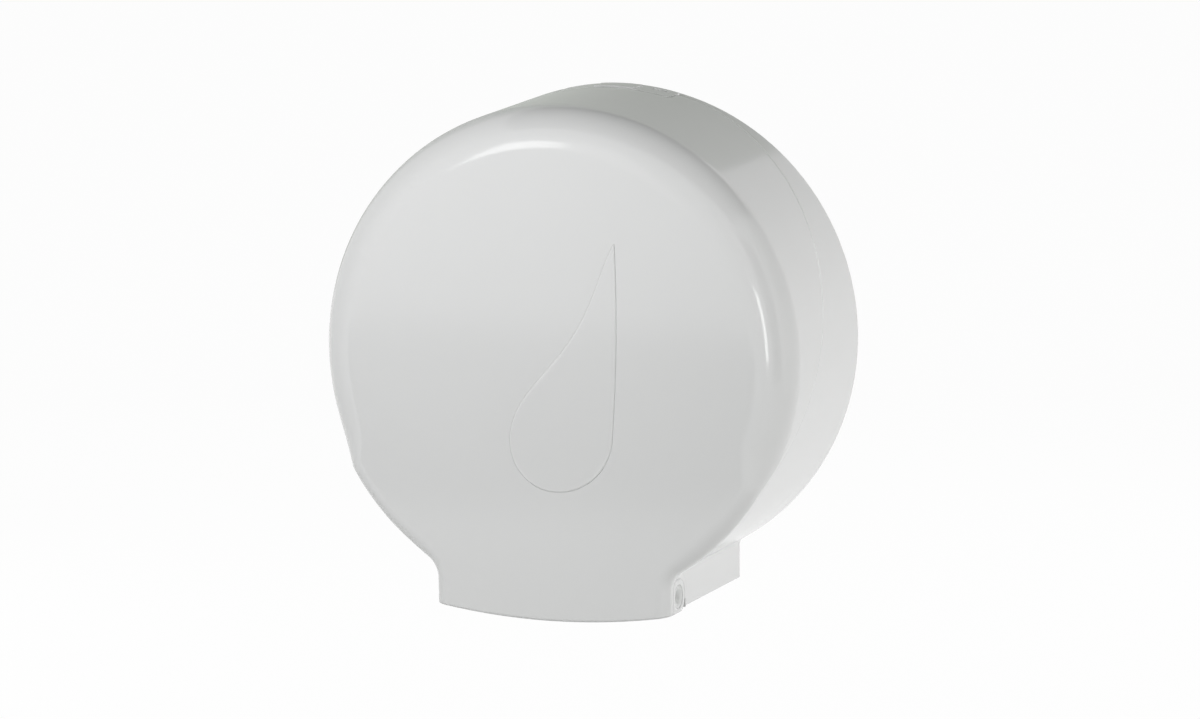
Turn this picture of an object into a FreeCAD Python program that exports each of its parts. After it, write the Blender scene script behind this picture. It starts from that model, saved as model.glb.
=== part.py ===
import FreeCAD, Part
import math
import os

Vector = FreeCAD.Vector

# Jumbo toilet roll dispenser for a wall, lengths in mm.
# The origin is the centre of the round body on the wall plane.
# X runs to the right seen from the front, Y runs into the wall, Z is up.

# Outer form of the front cover
body_radius = 135.0
body_depth = 128.5
neck_half_width = 67.0
neck_length = 138.0
neck_corner_radius = 13.0
lip_bow = 5.8
face_rise = 3.5
face_edge_radius = 22.0
neck_edge_radius = 7.0
cover_wall = 2.5
inner_chords = 3

# Drop raised on the face, its outline as shares of its height and half width
drop_relief = 0.4
drop_root = 1.0
drop_height = 136.0
drop_half_width = 30.4
drop_centre_x = 8.6
drop_low_z = -71.9
drop_tip_share = (0.95, 1.0)
drop_right_shares = ((1.0, 0.62), (0.93, 0.24))
drop_bottom_share = (-0.24, 0.0)
drop_left_shares = ((-1.0, 0.195), (-0.43, 0.44), (0.42, 0.73))
drop_bottom_middle_shares = ((0.6, 0.066), (-0.78, 0.066))

# Rear shell
shell_step = 1.5
shell_wall = 2.5
shell_corner_radius = 4.0
shell_raise = 1.1
seam_gap = 0.4

# Seam line in side view, as shares of the body's depth and radius
seam_top_shares = (0.078, 0.918)
seam_bend_shares = (0.545, -0.015)
seam_low_share = -0.504
neck_cap_depth = 15.0

# Register lip of the shell inside the cover's rim
register_gap = 0.3
register_wall = 1.8
register_reach = 5.0
register_root = 3.0

# Cover hinge at the foot of the neck
hinge_setback = 23.5
hinge_rise = 8.5
ear_radius = 9.7
ear_thickness = 5.7
ear_gap = 0.35
cheek_wall = 2.5
cheek_boss_radius = 5.5
cheek_boss_height = 2.4
surround_wall = 3.3
heel_room = 0.8
heel_drop = 2.5
dimple_radius = 6.5
dimple_depth = 2.6
pin_radius = 2.5
pin_fit = 0.05
pin_head_radius = 6.0
pin_head_rim = 0.7
pin_head_dome = 1.3
pin_tail = 2.2
clip_groove_depth = 0.5
clip_groove_setback = 0.4
clip_thickness = 0.8
clip_radius = 4.4
clip_mouth = 3.6
clip_fit = 0.03

# Latch in the notch of the cover's top edge
notch_half_width = 33.2
notch_depth = 25.4
notch_back = 6.0
notch_gap = 0.7
key_slot_offset = 23.5
key_slot_length = 10.0
key_slot_width = 2.0
key_slot_depth = 12.6
hump_half_width = 12.0
hump_rise = 1.1
hump_front = 21.5
hump_back = 8.5
latch_pivot_depth = 8.2
latch_pivot_drop = 8.4
latch_pin_radius = 1.5
latch_pin_fit = 0.05
tongue_web_offset = 15.5
tongue_web_wall = 2.4
tongue_web_radius = 3.4
tongue_foot_depth = 14.5
tongue_foot_half_width = 4.0
tongue_foot_wall = 1.6
bracket_half_width = 27.0
bracket_wall = 3.0
bracket_height = 24.0
bracket_top_drop = 14.0
bracket_lug_wall = 3.0
bracket_lug_radius = 3.2
bracket_lug_gap = 0.3
bracket_fillet = 4.0
latch_screw_offset = 20.0
latch_screw_drop = 32.0
spring_half_width = 6.0
spring_thickness = 0.7
spring_seat_height = 9.0
spring_bend_radius = 3.0
spring_gap = 0.3
spring_arm_drop = 9.0
hook_start = 28.5
hook_length = 1.6
hook_gap = 0.35
catch_depth = 2.2
catch_height = 1.5
catch_half_width = 9.0
catch_gap = 0.4

# Roll spindle and its turning hub on the body's centre line
seat_height = 6.0
seat_boss_radius = 4.6
flange_radius = 31.0
flange_wall = 3.0
flange_screw_radius = 24.0
flange_screw_count = 3
post_radius = 10.0
post_bore_radius = 7.2
post_tip_room = 26.0
post_tip_wall = 4.0
gusset_count = 6
gusset_wall = 2.0
gusset_height = 9.0
gusset_reach = 7.0
washer_radius = 17.0
washer_thickness = 1.0
hub_fit = 0.08
hub_wall = 2.4
hub_flange_radius = 29.0
hub_flange_wall = 2.0
hub_core_radius = 22.3
hub_fin_count = 8
hub_fin_wall = 2.0
hub_fin_lead = 9.0
hub_end_gap = 0.3
cap_radius = 14.5
cap_rim = 2.2
cap_dome = 1.8
cap_spigot = 3.0
cap_spigot_fit = 0.05

# Wall holes and ribs of the shell
wall_hole_spacing_x = 110.0
wall_hole_spacing_z = 110.0
wall_hole_radius = 2.75
wall_boss_radius = 8.0
wall_boss_height = 3.0
rib_height = 4.5
rib_wall = 1.8
rib_count = 12
rib_ring_clearance = 5.0
rib_ring_inner_radius = 40.0

# Tear strips at the mouth
strip_half_width = 50.0
strip_thickness = 0.8
strip_height = 13.0
strip_lift = 0.6
strip_gap = 0.3
strip_grip = 2.2
strip_boss_radius = 4.0
strip_screw_offset = 38.0
strip_screw_height = 8.0
tooth_pitch = 4.0
tooth_height = 1.8
bar_half_width = 52.0
bar_wall = 1.6
bar_height = 13.0
bar_reach = 9.0
bar_seat_height = 5.0
bar_seat_radius = 4.5
bar_lift = 1.5
bar_screw_offset = 38.0
bar_screw_height = 8.0

# Screws with a cross recess
screw_radius = 1.75
screw_head_radius = 3.4
screw_head_height = 2.0
screw_fit = 0.05
small_screw_radius = 1.25
small_screw_head_radius = 2.5
small_screw_head_height = 1.5
recess_width_share = 0.22
recess_length_share = 0.62
recess_depth_share = 0.55

# Length by which every cutting shape runs past the body, and the small
# rise of an edge rounding over the face that trims it
overrun = 20.0
trim_rise = 0.05

hinge_y = -(body_depth - hinge_setback)
hinge_z = -(neck_length - hinge_rise)
shell_inset = shell_step + shell_wall
shell_bottom = -(neck_length - shell_raise)
seam_top_y = -seam_top_shares[0] * body_depth
neck_seam_y = -(body_depth - neck_cap_depth)
plate_inside = body_radius - cover_wall
bracket_top = body_radius - bracket_top_drop
rib_ring_radius = bracket_top - bracket_height - rib_ring_clearance
far = body_radius + neck_length + overrun
along_x = Vector(1, 0, 0)
along_y = Vector(0, 1, 0)


def box(x_span, y_span, z_span):
    """Box between two places along each axis."""
    size = [high - low for low, high in (x_span, y_span, z_span)]
    return Part.makeBox(*size, Vector(x_span[0], y_span[0], z_span[0]))


def rod(radius, start, end):
    """Round bar from one point to another."""
    path = end - start
    return Part.makeCylinder(radius, path.Length, start, path)


def fuse(first, *others):
    """One solid from several that touch or overlap."""
    return first.fuse(list(others)).removeSplitter()


def mirrored(point):
    """The same point on the other side of the middle plane."""
    return Vector(-point.x, point.y, point.z)


def both_sides(shape):
    """A shape and its mirror image across the middle plane."""
    return [shape, shape.mirror(Vector(0, 0, 0), along_x)]


def save(name, *solids):
    """Write one node; a node of several fasteners is a compound."""
    shape = solids[0] if len(solids) == 1 else Part.makeCompound(list(solids))
    shape.exportStep("parts/" + name + ".step")
    print(name, len(shape.Solids), round(shape.Volume), shape.isValid())
    return shape


def body_face(inset, corner, bottom):
    """Round outline with a straight neck, its two inside corners rounded."""
    radius = body_radius - inset
    half = neck_half_width - inset
    reach = radius + corner
    side = half + corner
    corner_centre = Vector(side, 0, -math.sqrt(reach ** 2 - side ** 2))
    on_round = corner_centre * (radius / reach)
    on_neck = Vector(half, 0, corner_centre.z)
    inward = (on_round - corner_centre).normalize() + (on_neck - corner_centre).normalize()
    corner_middle = corner_centre + inward.normalize() * corner
    foot = Vector(half, 0, bottom)
    edges = [
        Part.Arc(on_round, Vector(0, 0, radius), mirrored(on_round)),
        Part.Arc(mirrored(on_round), mirrored(corner_middle), mirrored(on_neck)),
        Part.LineSegment(mirrored(on_neck), mirrored(foot)),
        Part.LineSegment(mirrored(foot), foot),
        Part.LineSegment(foot, on_neck),
        Part.Arc(on_neck, corner_middle, on_round),
    ]
    return Part.Face(Part.Wire([edge.toShape() for edge in edges]))


def face_sphere(inset):
    """Large sphere whose front is the slightly crowned face."""
    chord = body_radius - face_edge_radius
    sphere_radius = (chord ** 2 + face_rise ** 2) / (2 * face_rise)
    centre = Vector(0, sphere_radius - body_depth, 0)
    return Part.makeSphere(sphere_radius - inset, centre), centre, sphere_radius - inset


def disc_form(inset, chords):
    """Round body with a crowned face; its edge is one arc, or so many chords of that arc.

    The arc rises a little over the crowned face, and chords end a little behind it, so that
    the face always cuts them clean.
    """
    sphere, centre, sphere_radius = face_sphere(inset)
    radius = body_radius - inset
    rise = trim_rise if chords == 1 else -trim_rise
    edge_radius = face_edge_radius - inset
    edge_x = radius - edge_radius
    edge_y = centre.y - math.sqrt((sphere_radius - edge_radius) ** 2 - edge_x ** 2) - rise
    end = math.pi / 2 - math.asin(edge_x / sphere_radius)
    rounding = []
    for number in range(2 * chords + 1):
        angle = end * number / (2 * chords)
        across = edge_radius * math.cos(angle)
        forward = edge_radius * math.sin(angle)
        rounding.append(Vector(edge_x + across, edge_y - forward, 0))
    origin = Vector(0, 0, 0)
    side = Vector(radius, 0, 0)
    ahead = Vector(rounding[-1].x, -far, 0)
    edges = [Part.LineSegment(origin, side), Part.LineSegment(side, rounding[0])]
    if chords == 1:
        edges.append(Part.Arc(*rounding))
    else:
        edges += [Part.LineSegment(start, stop) for start, stop in zip(rounding[:-2:2], rounding[2::2])]
    edges.append(Part.LineSegment(rounding[-1], ahead))
    edges.append(Part.LineSegment(ahead, Vector(0, -far, 0)))
    edges.append(Part.LineSegment(Vector(0, -far, 0), origin))
    profile = Part.Face(Part.Wire([edge.toShape() for edge in edges]))
    return profile.revolve(origin, along_y, 360).common(sphere)


def neck_form(inset):
    """Neck block whose upright front edges are rounded; it follows the slope of the crowned face."""
    sphere, centre, sphere_radius = face_sphere(inset)
    half = neck_half_width - inset
    edge_radius = neck_edge_radius - inset
    edge_x = half - edge_radius
    front = centre.y - math.sqrt(sphere_radius ** 2 - edge_x ** 2 - hinge_z ** 2) - trim_rise
    slope = hinge_z / sphere_radius
    edge_y = front + edge_radius - slope * hinge_z
    back = Vector(half, overrun, 0)
    side = Vector(half, edge_y, 0)
    slant = edge_radius * math.sqrt(1 / 2)
    middle = Vector(edge_x + slant, edge_y - slant, 0)
    top = Vector(edge_x, edge_y - edge_radius, 0)
    ahead = Vector(edge_x, -far, 0)
    edges = [
        Part.LineSegment(mirrored(back), back),
        Part.LineSegment(back, side),
        Part.Arc(side, middle, top),
        Part.LineSegment(top, ahead),
        Part.LineSegment(ahead, mirrored(ahead)),
        Part.LineSegment(mirrored(ahead), mirrored(top)),
        Part.Arc(mirrored(top), mirrored(middle), mirrored(side)),
        Part.LineSegment(mirrored(side), mirrored(back)),
    ]
    depth = neck_length + lip_bow + overrun
    profile = Part.Face(Part.Wire([edge.toShape() for edge in edges]))
    return profile.extrude(Vector(0, slope * depth, -depth)).common(sphere)


def cover_form(inset, chords):
    """Solid form of the cover, the round body with its neck."""
    return disc_form(inset, chords).fuse(neck_form(inset))


def tangent_middle(before, start, end):
    """Middle of the arc that leaves start along the line from before, and ends at end."""
    along = (start - before).normalize()
    chord = end - start
    turn = along.getAngle(chord)
    halfway = (along + chord.normalize()).normalize()
    return start + halfway * (chord.Length / (2 * math.cos(turn / 2)))


def front_region(shift):
    """Everything in front of the seam; the seam leans back towards the top."""
    top = Vector(-far, seam_top_y + shift, seam_top_shares[1] * body_radius)
    bend = Vector(-far, -seam_bend_shares[0] * body_depth + shift, seam_bend_shares[1] * body_radius)
    low = Vector(-far, neck_seam_y + shift, seam_low_share * body_radius)
    above = Vector(-far, top.y, far)
    below = Vector(-far, low.y, -far)
    front_low = Vector(-far, -far, -far)
    front_high = Vector(-far, -far, far)
    edges = [
        Part.LineSegment(above, top),
        Part.LineSegment(top, bend),
        Part.Arc(bend, tangent_middle(top, bend, low), low),
        Part.LineSegment(low, below),
        Part.LineSegment(below, front_low),
        Part.LineSegment(front_low, front_high),
        Part.LineSegment(front_high, above),
    ]
    face = Part.Face(Part.Wire([edge.toShape() for edge in edges]))
    return face.extrude(Vector(2 * far, 0, 0))


def above_lip():
    """Everything above the bowed lower edge of the cover."""
    corner = Vector(neck_half_width, 0, -neck_length)
    side = Vector(far, 0, -neck_length)
    top = Vector(far, 0, far)
    edges = [
        Part.Arc(mirrored(corner), Vector(0, 0, -neck_length - lip_bow), corner),
        Part.LineSegment(corner, side),
        Part.LineSegment(side, top),
        Part.LineSegment(top, mirrored(top)),
        Part.LineSegment(mirrored(top), mirrored(side)),
        Part.LineSegment(mirrored(side), mirrored(corner)),
    ]
    return Part.Face(Part.Wire([edge.toShape() for edge in edges])).extrude(Vector(0, -far, 0))


def arch(inner, outer, half_width, front, back):
    """Strip of a round wall across the top of the body, between two depths."""
    wall = rod(outer, Vector(0, -back, 0), Vector(0, -front, 0))
    wall = wall.cut(rod(inner, Vector(0, -back, 0), Vector(0, -front, 0)))
    return wall.common(box((-half_width, half_width), (-front, -back), (0, far)))


def drop_point(share):
    """Point of the drop's outline from shares of its half width and height."""
    return Vector(drop_centre_x + share[0] * drop_half_width, 0, drop_low_z + share[1] * drop_height)


def drop_solid():
    """Raised drop: a straight right side, a round foot and a bowed left side to the tip."""
    tip = drop_point(drop_tip_share)
    right_high, right_low = [drop_point(share) for share in drop_right_shares]
    bottom = drop_point(drop_bottom_share)
    left_low, left_middle, left_high = [drop_point(share) for share in drop_left_shares]
    foot_right, foot_left = [drop_point(share) for share in drop_bottom_middle_shares]
    side = Part.BSplineCurve()
    side.interpolate([left_low, left_middle, left_high, tip])
    edges = [
        Part.Arc(tip, right_high, right_low),
        Part.Arc(right_low, foot_right, bottom),
        Part.Arc(bottom, foot_left, left_low),
        side,
    ]
    prism = Part.Face(Part.Wire([edge.toShape() for edge in edges])).extrude(Vector(0, -far, 0))
    raised = face_sphere(-drop_relief)[0]
    return prism.common(raised).cut(face_sphere(drop_root)[0])


def depth_hole(radius, x, z, back, front):
    """Round hole along Y between two depths."""
    return rod(radius, Vector(x, -back, z), Vector(x, -front, z))


def screw(seat, direction, length, radius, head_radius, head_height):
    """Screw with a cross recess: its flat head stands on the seat, its shank runs along direction."""
    head = rod(head_radius, seat - direction * head_height, seat)
    shank = rod(radius, seat, seat + direction * length)
    across = Vector(direction.y, direction.z, direction.x)
    body = fuse(head, shank)
    for arm in (across, direction.cross(across)):
        other = direction.cross(arm)
        half_length = head_radius * recess_length_share
        half_width = head_radius * recess_width_share / 2
        corner = seat - direction * (head_height + overrun) - arm * half_length - other * half_width
        points = [corner, corner + arm * (2 * half_length)]
        points += [points[1] + other * (2 * half_width), corner + other * (2 * half_width), corner]
        depth = overrun + head_height * recess_depth_share
        body = body.cut(Part.Face(Part.makePolygon(points)).extrude(direction * depth))
    return body


def toothed_face(half_width, height, origin):
    """Flat strip in the XZ plane with saw teeth along its lower edge."""
    count = round(2 * half_width / tooth_pitch)
    pitch = 2 * half_width / count
    points = [Vector(half_width, 0, height), Vector(-half_width, 0, height)]
    for tooth in range(count):
        left = -half_width + tooth * pitch
        points += [Vector(left, 0, tooth_height), Vector(left + pitch / 2, 0, 0)]
    points += [Vector(half_width, 0, tooth_height), points[0]]
    face = Part.Face(Part.makePolygon(points))
    face.translate(origin)
    return face


def hinge_point(x):
    """Point on the hinge axis."""
    return Vector(x, hinge_y, hinge_z)


ear_inside = neck_half_width - ear_thickness
cheek_outside = ear_inside - ear_gap
cheek_inside = cheek_outside - cheek_wall
cheek_boss_end = cheek_inside - cheek_boss_height
strip_bottom = -(neck_length - strip_lift - tooth_height / 2)


def front_cover():
    """Crowned cover with its neck, drop, notch, catch rib, hinge ears and strip bosses."""
    ear = rod(ear_radius, hinge_point(ear_inside), hinge_point(far))
    arm = box((ear_inside, far), (-far, hinge_y), (-far, hinge_z + ear_radius))
    ears = both_sides(fuse(ear, arm))
    hollow = cover_form(cover_wall, inner_chords).cut(ears)
    cover = cover_form(0, 1).common(front_region(0).fuse(ears)).common(above_lip()).cut(hollow)
    cover = cover.cut(box((-notch_half_width, notch_half_width), (-notch_depth, 0), (0, far)))
    catch = arch(plate_inside - catch_height, plate_inside + cover_wall / 2, catch_half_width,
                 notch_depth + catch_depth, notch_depth)
    cover = cover.fuse([catch, drop_solid()] + strip_bosses())
    dimple = rod(dimple_radius, hinge_point(neck_half_width - dimple_depth), hinge_point(far))
    bore = rod(pin_radius + pin_fit, hinge_point(0), hinge_point(far))
    for recess in both_sides(dimple) + both_sides(bore) + strip_screw_holes():
        cover = cover.cut(recess)
    return cover.Solids[0]


def strip_bosses():
    """Bosses inside the face that carry the front strip."""
    bosses = []
    for x in (-strip_screw_offset, strip_screw_offset):
        boss = rod(strip_boss_radius, strip_screw_point(x, 0), strip_screw_point(x, far))
        bosses.append(boss.common(face_sphere(cover_wall / 2)[0]))
    return bosses


def face_y(inset, x, z):
    """Depth of the crowned face, or of a surface inside it, at one place."""
    sphere, centre, radius = face_sphere(inset)
    return centre.y - math.sqrt(radius ** 2 - x ** 2 - z ** 2)


def strip_seat_y():
    """Back of the bosses on which the front strip lies."""
    return face_y(cover_wall, strip_half_width, strip_bottom) + strip_gap


def strip_screw_point(x, forward):
    """Point on the axis of one of the front strip's screws, measured forward from its seat."""
    return Vector(x, strip_seat_y() - forward, strip_bottom + strip_screw_height)


def strip_screw_holes():
    """Holes for the front strip's screws, closed towards the face."""
    radius = small_screw_radius + screw_fit
    return [rod(radius, strip_screw_point(x, -overrun), strip_screw_point(x, strip_grip))
            for x in (-strip_screw_offset, strip_screw_offset)]


def shell_prism(inset, corner, bottom, front):
    """Straight prism of the body's outline from the wall plane forward."""
    return body_face(inset, corner, bottom).extrude(Vector(0, -front, 0))


def wall_holes():
    """Places of the four wall screws."""
    return [Vector(side * wall_hole_spacing_x / 2, 0, level * wall_hole_spacing_z / 2)
            for side in (-1, 1) for level in (-1, 1)]


def shell_ribs():
    """Two ring ribs and radial ribs on the back plate."""
    top = shell_wall + rib_height
    ribs = []
    for radius in (rib_ring_radius, rib_ring_inner_radius):
        ring = rod(radius, Vector(0, 0, 0), Vector(0, -top, 0))
        ribs.append(ring.cut(rod(radius - rib_wall, Vector(0, 0, 0), Vector(0, -top, 0))))
    for number in range(rib_count):
        rib = box((-rib_wall / 2, rib_wall / 2), (-top, 0),
                  (rib_ring_inner_radius - rib_wall / 2, rib_ring_radius - rib_wall / 2))
        rib.rotate(Vector(0, 0, 0), along_y, number * 360 / rib_count)
        ribs.append(rib)
    return ribs


def flange_screw_places():
    """Places of the spindle's screws round the body's centre line."""
    places = []
    for number in range(flange_screw_count):
        angle = 2 * math.pi * number / flange_screw_count + math.pi / 2
        places.append(Vector(math.cos(angle), 0, math.sin(angle)) * flange_screw_radius)
    return places


def rear_shell():
    """Wall plate with its round wall, neck cheeks, register lip, bosses and ribs."""
    wall = shell_prism(shell_step, shell_corner_radius, shell_bottom, far)
    wall = wall.cut(shell_prism(shell_inset, shell_corner_radius + shell_wall, -far, far))
    wall = wall.cut(front_region(seam_gap))
    plate = shell_prism(shell_step, shell_corner_radius, shell_bottom, shell_wall)
    rim = cover_wall + register_gap
    lip_corner = neck_corner_radius + rim
    lip = shell_prism(rim, lip_corner, -far, face_edge_depth())
    lip = lip.cut(shell_prism(rim + register_wall, lip_corner + register_wall, -far, far))
    lip = lip.cut(front_region(seam_gap - register_reach)).common(front_region(register_root))
    lip = lip.common(box((-far, far), (-far, 0), (seam_low_share * body_radius, far)))
    notch = box((-notch_half_width, notch_half_width), (-far, -notch_back), (0, far))
    cheeks = both_sides(hinge_cheek())
    pockets = both_sides(hinge_pocket())
    pockets.append(notch)
    bosses = [rod(wall_boss_radius, place, place - along_y * (shell_wall + wall_boss_height))
              for place in wall_holes()]
    bosses += [rod(seat_boss_radius, place, place - along_y * (shell_wall + seat_height))
               for place in flange_screw_places()]
    bar_seat_front = shell_wall + bar_seat_height
    for x in (-bar_screw_offset, bar_screw_offset):
        bosses.append(box((x - bar_seat_radius, x + bar_seat_radius), (-bar_seat_front, 0),
                          (bar_screw_z() - bar_seat_radius, bar_screw_z() + bar_seat_radius)))
    shell = fuse(plate, wall, *lip.Solids, *cheeks, *bosses, *shell_ribs())
    holes = [rod(wall_hole_radius, place + along_y, place - along_y * overrun) for place in wall_holes()]
    holes += [rod(screw_radius + screw_fit, place - along_y * shell_wall, place - along_y * overrun)
              for place in flange_screw_places()]
    small_hole = small_screw_radius + screw_fit
    holes += [depth_hole(small_hole, x, bar_screw_z(), shell_wall / 2, overrun)
              for x in (-bar_screw_offset, bar_screw_offset)]
    holes += [depth_hole(small_hole, x, latch_screw_z(), shell_wall / 2, overrun)
              for x in (-latch_screw_offset, latch_screw_offset)]
    bore = rod(pin_radius + pin_fit, hinge_point(cheek_boss_end - overrun), hinge_point(far))
    shell = shell.cut(pockets + holes + both_sides(bore))
    return shell.Solids[0]


def face_edge_depth():
    """Depth at which the rounding of the cover's face begins."""
    return body_depth - face_rise - face_edge_radius


def bar_screw_z():
    """Height of the rear bar's screws."""
    return shell_bottom + bar_lift + bar_screw_height


def latch_screw_z():
    """Height of the latch bracket's screws."""
    return body_radius - latch_screw_drop


def hinge_cheek():
    """Inner cheek of the shell beside one ear, with the pin's boss and the rim round the ear."""
    radius = ear_radius + ear_gap + surround_wall
    rim = rod(radius, hinge_point(cheek_inside), hinge_point(neck_half_width))
    front = hinge_y - ear_radius + cheek_wall
    rear = hinge_y + radius
    level = hinge_z + radius
    outside = neck_half_width - shell_step
    plate = box((cheek_inside, cheek_outside), (front, rear), (shell_bottom, level))
    back = box((cheek_inside, outside), (rear - surround_wall, rear), (shell_bottom, level))
    roof = box((cheek_inside, outside), (front, rear), (level - surround_wall, level))
    boss = rod(cheek_boss_radius, hinge_point(cheek_boss_end), hinge_point(cheek_outside))
    rim = fuse(rim, back, roof).cut(front_region(seam_gap))
    return fuse(rim, plate, boss).common(box((0, far), (-far, 0), (shell_bottom, 0)))


def hinge_pocket():
    """Room for one ear and its arm to turn in the shell's side."""
    pocket = rod(ear_radius + ear_gap, hinge_point(cheek_outside), hinge_point(far))
    arm_top = hinge_z + ear_radius + ear_gap
    sweep = box((cheek_outside, far), (-far, hinge_y), (-far, arm_top))
    heel = box((cheek_outside, far), (hinge_y, hinge_y + ear_radius + ear_gap + heel_room),
               (-far, hinge_z - heel_drop))
    return fuse(pocket, sweep, heel)


def hinge_pin():
    """Pin of one side: a bevelled head in the ear's dimple, a shank and a clip groove."""
    seat_x = neck_half_width - dimple_depth
    tail_x = cheek_boss_end - pin_tail
    head = rod(pin_head_radius, hinge_point(seat_x), hinge_point(seat_x + pin_head_rim))
    dome = Part.makeCone(pin_head_radius, pin_head_radius / 2, pin_head_dome,
                         hinge_point(seat_x + pin_head_rim), along_x)
    shank = rod(pin_radius, hinge_point(tail_x), hinge_point(seat_x))
    pin = fuse(head, dome, shank)
    start = cheek_boss_end - clip_groove_setback
    end = start - clip_thickness - 2 * clip_fit
    groove = rod(pin_radius + overrun, hinge_point(end), hinge_point(start))
    groove = groove.cut(rod(pin_radius - clip_groove_depth, hinge_point(end), hinge_point(start)))
    return pin.cut(groove)


def hinge_clip():
    """Open spring clip in the groove of one pin."""
    start = cheek_boss_end - clip_groove_setback - clip_fit
    inner = pin_radius - clip_groove_depth + clip_fit
    clip = rod(clip_radius, hinge_point(start - clip_thickness), hinge_point(start))
    clip = clip.cut(rod(inner, hinge_point(start - overrun), hinge_point(start + overrun)))
    mouth = box((start - overrun, start + overrun), (hinge_y - clip_mouth / 2, hinge_y + clip_mouth / 2),
                (hinge_z - overrun, hinge_z))
    return clip.cut(mouth)


latch_y = -latch_pivot_depth
latch_z = body_radius - latch_pivot_drop


def latch_point(x):
    """Point on the latch's pivot axis."""
    return Vector(x, latch_y, latch_z)


def latch_tongue():
    """Push plate in the notch, with two key slots, a hump, webs to the pivot and a foot."""
    half = notch_half_width - notch_gap
    front = notch_depth - notch_gap
    back = notch_back + notch_gap
    plate = arch(plate_inside, body_radius, half, front, back)
    hump = arch(plate_inside, body_radius + hump_rise, hump_half_width, hump_front, hump_back)
    end_edges = [edge for edge in hump.Edges
                 if edge.CenterOfMass.z > body_radius and edge.Curve.TypeId == "Part::GeomCircle"]
    hump = hump.makeChamfer(hump_rise / 2, end_edges)
    inner_form = rod(plate_inside + cover_wall / 2, Vector(0, -far, 0), Vector(0, 0, 0))
    webs = []
    for side in (-1, 1):
        x = side * tongue_web_offset
        span = (x - tongue_web_wall / 2, x + tongue_web_wall / 2)
        hanger = box(span, (latch_y - tongue_web_radius, -back), (latch_z, body_radius))
        eye = rod(tongue_web_radius, latch_point(span[0]), latch_point(span[1]))
        webs += [hanger.common(inner_form), eye]
    foot = box((-tongue_foot_half_width, tongue_foot_half_width),
               (-tongue_foot_depth - tongue_foot_wall, -tongue_foot_depth),
               (spring_top_z() + spring_gap, plate_inside + cover_wall / 2))
    tongue = fuse(plate, hump, foot, *webs)
    slot_span = (-key_slot_depth - key_slot_width / 2, -key_slot_depth + key_slot_width / 2)
    slots = []
    for side in (-1, 1):
        x = side * key_slot_offset
        slots.append(box((x - key_slot_length / 2, x + key_slot_length / 2), slot_span, (0, far)))
    bore = rod(latch_pin_radius + latch_pin_fit, latch_point(-far), latch_point(far))
    return tongue.cut(slots + [bore]).Solids[0]


def spring_top_z():
    """Height of the upper face of the latch spring's arm."""
    return plate_inside - spring_arm_drop


def bracket_front_y():
    """Front face of the latch bracket's plate."""
    return -(shell_wall + bracket_wall)


def latch_bracket():
    """Plate on the shell's back with two lugs that carry the latch's pivot pin."""
    plate = box((-bracket_half_width, bracket_half_width), (bracket_front_y(), -shell_wall),
                (bracket_top - bracket_height, bracket_top))
    upright = [edge for edge in plate.Edges if abs(edge.tangentAt(edge.FirstParameter).y) > 1 / 2]
    plate = plate.makeFillet(bracket_fillet, upright)
    start = tongue_web_offset + tongue_web_wall / 2 + bracket_lug_gap
    span = (start, start + bracket_lug_wall)
    arm = box(span, (latch_y - bracket_lug_radius, -shell_wall),
              (bracket_top - bracket_height / 2, latch_z))
    eye = rod(bracket_lug_radius, latch_point(span[0]), latch_point(span[1]))
    lug = fuse(arm, eye).common(box((0, far), (-far, -shell_wall), (0, far)))
    bracket = fuse(plate, *both_sides(lug))
    small_hole = small_screw_radius + screw_fit
    holes = [rod(latch_pin_radius + latch_pin_fit, latch_point(-far), latch_point(far))]
    holes += [depth_hole(small_hole, x, latch_screw_z(), 0, overrun)
              for x in (-latch_screw_offset, latch_screw_offset)]
    holes.append(depth_hole(small_hole, 0, spring_screw_z(), 0, overrun))
    return bracket.cut(holes).Solids[0]


def spring_screw_z():
    """Height of the screw that clamps the latch spring."""
    return bracket_top - bracket_height / 2 + spring_seat_height / 4


def latch_spring():
    """Bent strip: clamped leg, arm under the tongue's foot, and a hook behind the cover's catch."""
    back = bracket_front_y() - spring_thickness / 2
    level = spring_top_z() - spring_thickness / 2
    low = spring_screw_z() - spring_seat_height / 2
    hook_top = plate_inside - hook_gap - spring_thickness / 2
    under_catch = plate_inside - catch_height - catch_gap - spring_thickness
    bend = spring_bend_radius
    rise_start = -(tongue_foot_depth + tongue_foot_wall + spring_gap)
    rise_end = -(notch_depth - notch_gap)
    hook_y = -hook_start
    points = [
        Vector(0, back, low),
        Vector(0, back, level - bend),
        Vector(0, back - bend, level),
        Vector(0, rise_start, level),
        Vector(0, rise_end, under_catch),
        Vector(0, hook_y, under_catch),
        Vector(0, hook_y, hook_top),
        Vector(0, hook_y - hook_length, hook_top - hook_length / 2),
    ]
    corner = Vector(0, back - bend * (1 - math.sqrt(1 / 2)), level - bend * (1 - math.sqrt(1 / 2)))
    edges = [Part.makeLine(points[0], points[1])]
    edges.append(Part.Arc(points[1], corner, points[2]).toShape())
    for start, end in zip(points[2:-1], points[3:]):
        edges.append(Part.makeLine(start, end))
    centre_line = Part.Wire(edges)
    face = Part.Face(centre_line.makeOffset2D(spring_thickness / 2))
    spring = face.extrude(Vector(2 * spring_half_width, 0, 0))
    spring.translate(Vector(-spring_half_width, 0, 0))
    hole = depth_hole(small_screw_radius + screw_fit, 0, spring_screw_z(), 0, overrun)
    return spring.cut(hole).Solids[0]


def latch_pin():
    """Pivot pin through the bracket's lugs and the tongue's webs."""
    end = tongue_web_offset + tongue_web_wall / 2 + bracket_lug_gap + bracket_lug_wall
    return rod(latch_pin_radius, latch_point(-end), latch_point(end))


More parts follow.
